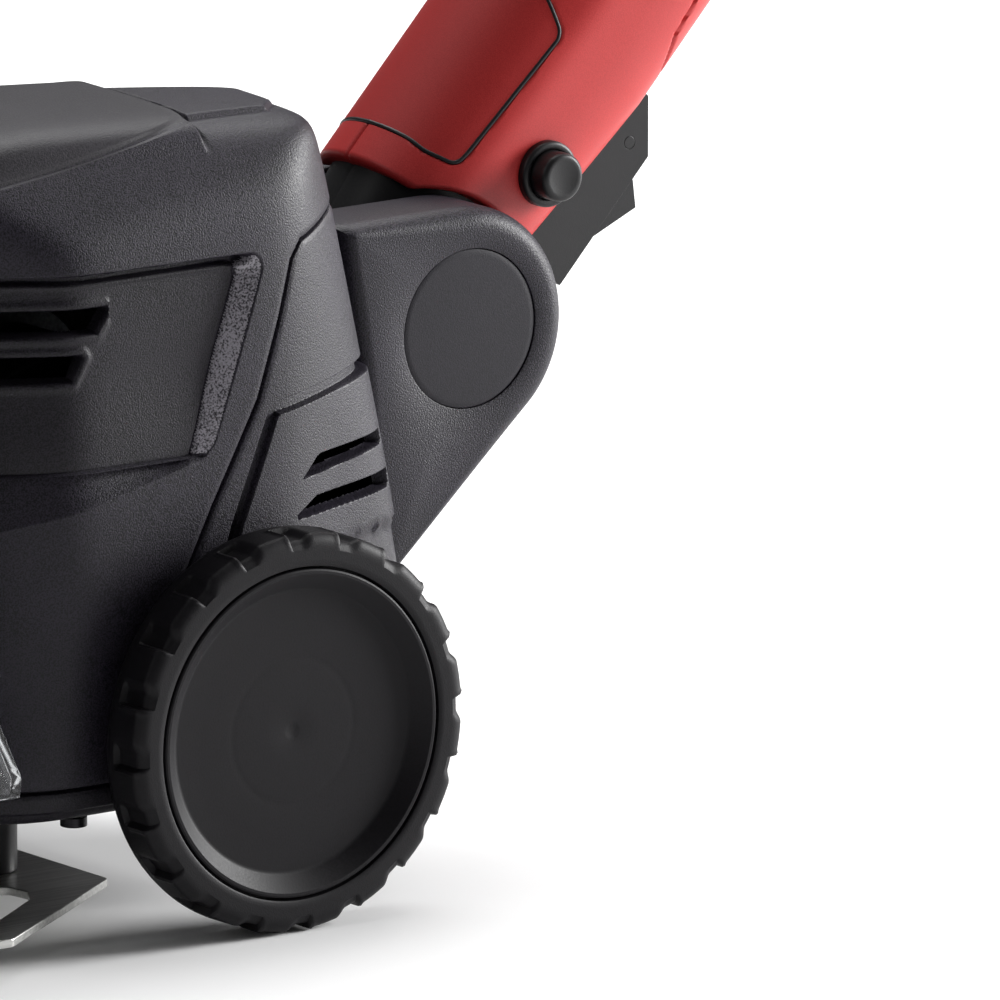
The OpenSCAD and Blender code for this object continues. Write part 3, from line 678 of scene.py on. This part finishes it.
def addHub(side, node):
    profile = [(-6.2, 0.0), (-6.2, 44), (-3.9, 46.9), (-3.9, 48.4), (-1.0, 49.1), (-0.4, 48.9), (-0.15, 48.4),
               (-0.15, 47.6), (-0.35, 47.2), (-4.3, 42.9), (-4.62, 42.3), (-4.66, 41.6), (-4.68, 32),
               (-4.69, 24), (-4.72, 22.6), (-4.76, 21.8), (-4.72, 21.0), (-4.70, 19.6), (-4.70, 10),
               (-4.70, 3.0), (-4.8, 2.2), (-4.95, 1.2), (-5.0, 0)]
    points, faces = latheX(profile, 200, (0, axleZ), trackHalf, side)
    return addPiece(sideName("HubCap", side), meshFrom(points, faces), hubBlack, node, 26)


addWheel(1, "wheel_left")
addWheel(-1, "wheel_right")
addHub(1, "hub_cap_left")
addHub(-1, "hub_cap_right")
print("wheels ready")

# red lower handle
grip = {"half": 30, "front": 37.3, "rear": -29, "end": 250, "power": 3.3, "frontPower": 2.2,
        "endArc": 37.6, "endFlat": 26.5}
inlayLine = [(39.5, 40), (39.3, 33), (38.4, 30), (40, 22.8), (41.5, 21.4), (45, 20.7), (90, 17.5),
             (92.5, 18.6), (97, 24.7), (108, 40)]
underLine = [(104, -30), (108, -23), (117, -17.6), (126, -16.5), (235, -6)]


def gripRear(a):
    if a < 95:
        return -23.5 - (a - 40) * (5.5 / 55)
    return grip["rear"]


def gripStart(n):
    arc = math.sqrt(max(grip["endArc"] ** 2 - n * n, 0))
    return max(arc, grip["endFlat"])


def gripSection(a, angle, inset=0):
    front, rear = grip["front"] - inset, gripRear(max(a, 30)) + inset
    middle, tall, wide = (front + rear) / 2, (front - rear) / 2, grip["half"] - inset
    c, s = math.cos(angle), math.sin(angle)
    power = grip["power"] + (grip["frontPower"] - grip["power"]) * smoothStep(-0.2, 0.5, c)
    k = (abs(c) ** power + abs(s) ** power) ** (-1 / power)
    return wide * s * k, middle + tall * c * k


def gripPoint(a, angle, inset=0):
    x, n = gripSection(a, angle, inset)
    start = gripStart(n)
    span = 60
    base = grip["endFlat"]
    place = start + (a - base) * (base + span - start) / span if a < base + span else a
    return x, place, n


def gripNormal(a, angle):
    x0, _, n0 = gripPoint(a, angle - 0.01)
    x1, _, n1 = gripPoint(a, angle + 0.01)
    dx, dn = x1 - x0, n1 - n0
    size = math.hypot(dx, dn)
    return -dn / size, dx / size


def gripDepth(x, a, n):
    inlay = signedDistance((a, n), inlayLine)
    depth = 1.0 * smoothStep(-0.9, -0.2, inlay)
    depth = max(depth, 1.1 * (1 - smoothStep(0.25, 0.8, abs(x))) * (1 if inlay < 0 else 0.6))
    if n < -4:
        depth = max(depth, 0.9 * (1 - smoothStep(0.3, 0.9, lineDistance((a, n), underLine))))
    return depth


def addGripHalf(side, node):
    stations = [(grip["endFlat"], 10), (grip["endFlat"], 2.2), (grip["endFlat"] + 0.25, 1.0),
                (grip["endFlat"] + 0.8, 0.35), (grip["endFlat"] + 1.6, 0)]
    a = grip["endFlat"] + 2.2
    while a < 130:
        stations.append((a, 0))
        a += 0.7
    while a < grip["end"] - 3:
        stations.append((a, 0))
        a += 1.6
    stations += [(grip["end"] - 2, 0), (grip["end"] - 0.8, 0.3), (grip["end"], 1.4), (grip["end"], 14)]
    count = 150
    points = []
    for a, inset in stations:
        for k in range(count + 1):
            angle = math.pi * k / count
            x, place, n = gripPoint(a, angle, inset)
            nx, nn = gripNormal(a, angle)
            deep = gripDepth(x, place, n)
            if x < 0.001:
                nx = 0
            middle = (grip["front"] + grip["rear"]) / 2
            inward = deep * abs(nn) * (1 if n > middle else -1)
            points.append(handlePoint(side * max(0, x - abs(nx) * deep), place, n - inward))
    bm = meshFrom(points, gridFaces(len(stations), count + 1))
    return addPiece(sideName("LowerShell", side), bm, handleRed, node, 45)


def addInlay(side, node):
    aLow, aHigh, step = 37.5, 113, 0.45
    rowCount = round((aHigh - aLow) / step) + 1
    count = 130
    bm = bmesh.new()
    made = []
    for i in range(rowCount):
        a = aLow + step * i
        row = []
        for k in range(count + 1):
            angle = 0.5 * math.pi * 1.12 * k / count
            x, n = gripSection(a, angle, 0)
            row.append((bm.verts.new(handlePoint(side * x, a, n)), x, a, n))
        made.append(row)
    for i in range(rowCount - 1):
        for k in range(count):
            ring = [made[i][k], made[i][k + 1], made[i + 1][k + 1], made[i + 1][k]]
            a = sum(r[2] for r in ring) / 4
            n = sum(r[3] for r in ring) / 4
            if signedDistance((a, n), inlayLine) > 0.1:
                bm.faces.new([r[0] for r in ring])
    loose = [v for v in bm.verts if not v.link_faces]
    bmesh.ops.delete(bm, geom=loose, context="VERTS")
    bmesh.ops.recalc_face_normals(bm, faces=bm.faces)
    return addPiece(sideName("Inlay", side), bm, inlayRed, node, 45)


def tubeAlong(route, radius, sides=8):
    bm = bmesh.new()
    rings = []
    for i, p in enumerate(route):
        ahead = (route[min(i + 1, len(route) - 1)] - route[max(i - 1, 0)]).normalized()
        flat = ahead.cross(Vector((0.37, 0.55, 0.75))).normalized()
        up = ahead.cross(flat)
        rings.append([bm.verts.new(p + (flat * math.cos(t) + up * math.sin(t)) * radius)
                      for t in (2 * math.pi * k / sides for k in range(sides))])
    for low, high in zip(rings, rings[1:]):
        for k in range(sides):
            bm.faces.new((low[k], low[(k + 1) % sides], high[(k + 1) % sides], high[k]))
    bm.faces.new(rings[0][::-1])
    bm.faces.new(rings[-1])
    bmesh.ops.recalc_face_normals(bm, faces=bm.faces)
    return bm


def gripTurn(a, n):  # the angle round the section at which the skin is at that height
    low, high = 0, math.pi
    for _ in range(26):
        turn = (low + high) / 2
        low, high = (turn, high) if gripSection(a, turn)[1] > n else (low, turn)
    return low


def softCorners(line, radius, steps=6):
    result = [line[0]]
    for before, corner, after in zip(line, line[1:], line[2:]):
        back, ahead = math.dist(before, corner), math.dist(corner, after)
        cut = min(radius, back / 2, ahead / 2)
        start = [c + (b - c) * cut / back for b, c in zip(before, corner)]
        stop = [c + (b - c) * cut / ahead for b, c in zip(after, corner)]
        for k in range(steps + 1):
            t = k / steps
            result.append(tuple((1 - t) ** 2 * s + 2 * t * (1 - t) * c + t * t * e
                                for s, c, e in zip(start, corner, stop)))
    result.append(line[-1])
    return result


def densify(line, step):
    result = []
    for a, b in zip(line, line[1:]):
        count = max(1, round(math.dist(a, b) / step))
        result += [(a[0] + (b[0] - a[0]) * k / count, a[1] + (b[1] - a[1]) * k / count) for k in range(count)]
    result.append(line[-1])
    return result


def addBead(side):
    line = densify(softCorners(inlayLine, 3), 0.8)
    route = []
    for a, n in line:
        x, n = gripSection(a, gripTurn(a, n), 0.5)
        route.append(handlePoint(side * x, a, n))
    clean = [route[0]]
    for p in route[1:]:
        if (p - clean[-1]).length > 0.3 * mm:
            clean.append(p)
    return addTrim(sideName("InlayBead", side), tubeAlong(clean, 0.8 * mm), softBlack,
                   "lower_shell_left", 60)


for side, hand in ((1, "left"), (-1, "right")):
    addGripHalf(side, "lower_shell_" + hand)
    addInlay(side, "inlay_" + hand)
    addBead(side)
print("handle shells ready")

# ears and neck of the tilt joint
ear = {"radius": 36, "inner": 24, "outer": 50, "edge": 6.5, "cap": 23.95, "capSunk": 0.35,
       "corners": [(52, pivotZ + 36), (70, 96), (66, 84)]}


def turnOf(a, b, c):  # positive when a, b and c turn to the left
    return (b[0] - a[0]) * (c[1] - a[1]) - (b[1] - a[1]) * (c[0] - a[0])


def hullOf(points):
    ordered = sorted(points)
    rim = []
    for run in (ordered, ordered[::-1]):
        part = []
        for p in run:
            while len(part) > 1 and turnOf(part[-2], part[-1], p) <= 0:
                part.pop()
            part.append(p)
        rim += part[:-1]
    return rim


earCircle = [(ear["radius"] * math.sin(math.pi * k / 60), ear["radius"] * math.cos(math.pi * k / 60))
             for k in range(120)]
earRim = hullOf(earCircle + [(y - pivotY, z - pivotZ) for y, z in ear["corners"]])


def earReach(angle):  # from the tilt pin to the ear's edge, angle from +Z towards +Y
    dy, dz = math.sin(angle), math.cos(angle)
    for (ay, az), (by, bz) in zip(earRim, earRim[1:] + earRim[:1]):
        ey, ez = by - ay, bz - az
        cross = dy * ez - dz * ey
        if abs(cross) > 1e-9:
            reach, part = (ay * ez - az * ey) / cross, (ay * dz - az * dy) / cross
            if reach > 0 and -1e-6 <= part <= 1 + 1e-6:
                return reach
    return ear["radius"]


def pinRing(x, reachAt, turns):  # points round the tilt pin
    ring = []
    for k in range(turns):
        t = 2 * math.pi * k / turns
        r = reachAt(t)
        ring.append(headPoint(x, pivotY + r * math.sin(t), pivotZ + r * math.cos(t)))
    return ring


def addEars():
    x0, x1, edge = ear["inner"], ear["outer"], ear["edge"]
    stations = [(x0, -10), (x0, -1.5), (x0 + 0.4, -0.5), (x0 + 1.2, 0)]
    stations += [(x1 - edge + edge * math.sin(t), -edge * (1 - math.cos(t)))
                 for t in (math.pi / 2 * k / 12 for k in range(13))]
    bore = [(x1, ear["cap"] + 0.5), (x1 - 0.15, ear["cap"] + 0.15), (x1 - 1, ear["cap"] + 0.1),
            (x1 - 3, ear["cap"]), (x1 - 3, 6.2), (x0, 6.2), (x0, 20)]
    turns = 240
    points, faces = [], []
    for side in (1, -1):
        start = len(points)
        for x, inset in stations:
            points += pinRing(side * x, lambda t: earReach(t) + inset, turns)
        for x, r in bore:
            points += pinRing(side * x, lambda t: r, turns)
        rows = len(stations) + len(bore)
        grid = gridFaces(rows, turns, True)
        faces += [tuple(start + k for k in f) for f in grid]
        last = start + (rows - 1) * turns
        faces += [(last + k, last + (k + 1) % turns, start + (k + 1) % turns, start + k)
                  for k in range(turns)]
    base = len(points)
    web = [(60, 84), (92, 96), (88, 108), (74, 116), (50, 112)]
    for x in (-x0 - 1, x0 + 1):
        points += [headPoint(x, y, z) for y, z in web]
    n = len(web)
    faces += [tuple(range(base, base + n)), tuple(range(base + n, base + 2 * n))[::-1]]
    faces += [(base + k, base + (k + 1) % n, base + n + (k + 1) % n, base + n + k) for k in range(n)]
    return addPiece("PivotBracket", meshFrom(points, faces), charcoal, "pivot_bracket", 40)


def addPivotCap(side, node):
    top, r = ear["outer"] - ear["capSunk"], ear["cap"]
    profile = [(top - 2.6, 0), (top - 2.6, r), (top - 0.5, r), (top - 0.18, r - 0.12), (top, r - 0.5)]
    profile += [(top + 0.25 * (1 - (k / 12) ** 2), r * k / 12) for k in range(11, -1, -1)]
    points = []
    turns = 120
    for x, r in profile:
        points += pinRing(side * x, lambda t: r, turns)
    return addPiece(sideName("PivotCap", side),
                    meshFrom(points, gridFaces(len(profile), turns, True)), smoothGrey, node, 40)


neck = {"half": 22.6, "rear": -21.5, "power": 4.5, "frontPower": 2.3}
neckFront = [(-26, 14), (-18, 23.5), (-10, 28.3), (0, 30.4), (8, 31.6), (26, 33.6), (44, 33.6)]


def addNeck():
    points = []
    count = 96
    stations = [-24 + 1.5 * k for k in range(45)]
    rows = [(stations[0], 8), (stations[0] + 0.3, 3)] + [(a, 0) for a in stations[1:]] + [(stations[-1], 8)]
    for a, inset in rows:
        for (a0, n0), (a1, n1) in zip(neckFront, neckFront[1:]):
            if a0 <= a <= a1 or (a1, n1) == neckFront[-1]:
                front = n0 + (n1 - n0) * min(1, (a - a0) / (a1 - a0)) - inset
                break
        spread = min(1, 21.5 / 30 + 0.28 * smoothStep(20, 0, abs(a)))
        rear = inset - math.sqrt(max(30 ** 2 - a * a, neck["rear"] ** 2)) * spread
        middle, tall = (front + rear) / 2, (front - rear) / 2
        for k in range(count):
            t = 2 * math.pi * k / count
            c, d = math.cos(t), math.sin(t)
            power = neck["power"] + (neck["frontPower"] - neck["power"]) * smoothStep(-0.2, 0.5, c)
            scale = (abs(c) ** power + abs(d) ** power) ** (-1 / power)
            x = (neck["half"] - inset) * d * scale
            seam = 0.7 * (1 - smoothStep(0.2, 0.9, abs(x)))
            points.append(handlePoint(x, a, middle + (tall - seam) * c * scale))
    ends = [tuple(range(count))[::-1], tuple(range(len(points) - count, len(points)))]
    bm = meshFrom(points, gridFaces(len(rows), count, True) + ends)
    return addPiece("HandleNeck", bm, softBlack, "handle_neck", 50)


addEars()
addPivotCap(1, "pivot_cap_left")
addPivotCap(-1, "pivot_cap_right")
addNeck()
print("tilt joint ready")

# release button and its ring
button = {"a": 57, "n": -5, "radius": 7.4, "ring": 10, "base": 27, "ringTop": 33, "top": 39.4}


def handleLathe(profile, turns, a, n, side=1):
    points = []
    for x, r in profile:
        for k in range(turns):
            angle = 2 * math.pi * k / turns
            points.append(handlePoint(side * x, a + r * math.sin(angle), n + r * math.cos(angle)))
    return meshFrom(points, gridFaces(len(profile), turns, True))


def addButton():
    top, ringTop, r, ring = button["top"], button["ringTop"], button["radius"], button["ring"]
    cap = [(22, 0), (22, r), (top - 1.6, r), (top - 0.8, r - 0.25), (top - 0.25, r - 0.8), (top, r - 1.5),
           (top - 0.12, r - 2.4), (top - 0.4, r - 4), (top - 0.5, 0)]
    addPiece("SideButton", handleLathe(cap, 72, button["a"], button["n"]), softBlack, "side_button", 50)
    rim = [(button["base"], r + 0.15), (ringTop - 0.6, r + 0.15), (ringTop - 0.15, r + 0.45),
           (ringTop, r + 0.9), (ringTop, ring - 1.1), (ringTop - 0.2, ring - 0.5),
           (ringTop - 0.7, ring - 0.1), (ringTop - 1.4, ring), (button["base"], ring),
           (button["base"], r + 0.15)]
    addPiece("ButtonRing", handleLathe(rim, 72, button["a"], button["n"]), softBlack, "button_ring", 50)


addButton()

# pieces whose drawn shape is right get rounded edges and their finish
soft = {"underside_cover": 1.2, "tilt_lever": 1.0, "tube_collar": 1.2, "collar_lever": 1.0,
        "upper_shell_left": 1.6, "upper_shell_right": 1.6, "trigger": 1.0, "lock_off": 0.8, "battery": 2.2,
        "aux_clamp": 1.0, "aux_knob": 1.0, "guide_plate": 0.35, "guide_posts": 0.5, "blade_guard": 0.5,
        "belt_case": 0.8, "belt_cover": 0.8, "blade": 0.25, "base_screws": 0.25, "blade_nut": 0.4,
        "inner_flange": 0.3, "outer_flange": 0.3, "aux_handle": 0.6}
roundedPieces = {node: roundedNode(node, width) for node, width in soft.items()}
roundedPieces["base_screws"].data.materials[0] = screwSteel
print("rounded pieces ready:", len(roundedPieces))

# floor, light and camera
look = {"azimuth": 53.5, "elevation": 12.5, "distance": 8.0, "viewWide": 0.2924, "right": 57.9, "up": 68.4}
azimuth, elevation = math.radians(look["azimuth"]), math.radians(look["elevation"])
back = Vector((math.sin(azimuth) * math.cos(elevation), -math.cos(azimuth) * math.cos(elevation),
               math.sin(elevation)))
right = Vector((math.cos(azimuth), math.sin(azimuth), 0))
up = back.cross(right)
aim = headPoint(trackHalf, 0, axleZ) + right * look["right"] * mm + up * look["up"] * mm
cameraData = bpy.data.cameras.new("view")
cameraData.sensor_width = 36
cameraData.lens = 36 * look["distance"] / look["viewWide"]
cameraData.clip_end = 60
camera = bpy.data.objects.new("view", cameraData)
camera.location = aim + back * look["distance"]
camera.rotation_euler = back.to_track_quat("Z", "Y").to_euler()
bpy.context.scene.collection.objects.link(camera)
bpy.context.scene.camera = camera


def addFloor():
    bm = bmesh.new()
    bmesh.ops.create_grid(bm, x_segments=4, y_segments=4, size=14)
    mesh = bpy.data.meshes.new("floor")
    bm.to_mesh(mesh)
    bm.free()
    mesh.materials.append(newFinish("paleFloor", (0.93, 0.93, 0.93), 0.75)[0])
    floor = bpy.data.objects.new("floor", mesh)
    bpy.context.scene.collection.objects.link(floor)
    return floor


def addLamp(name, place, size, power, aimAt):
    data = bpy.data.lights.new(name, "AREA")
    data.shape = "RECTANGLE"
    data.size, data.size_y = size
    data.energy = power
    lamp = bpy.data.objects.new(name, data)
    lamp.location = place
    lamp.rotation_euler = (Vector(place) - aimAt).to_track_quat("Z", "Y").to_euler()
    bpy.context.scene.collection.objects.link(lamp)
    return lamp


world = bpy.data.worlds.new("studio")
world.use_nodes = True
world.node_tree.nodes["Background"].inputs["Color"].default_value = (1, 1, 1, 1)
world.node_tree.nodes["Background"].inputs["Strength"].default_value = 0.13
bpy.context.scene.world = world
lamps = {"top": ((-0.9, 0.5, 2.4), (2.2, 2.2), 78), "side": ((0.75, 2.1, 0.75), (0.8, 1.2), 120),
         "front": ((-0.2, -2.4, 1.5), (0.8, 1.2), 8)}
stagePieces = [addFloor()]
for name, (place, size, power) in lamps.items():
    stagePieces.append(addLamp(name, place, size, power, headPoint(0, 0, 130)))
bpy.context.scene.view_settings.view_transform = "Standard"
print("stage ready")
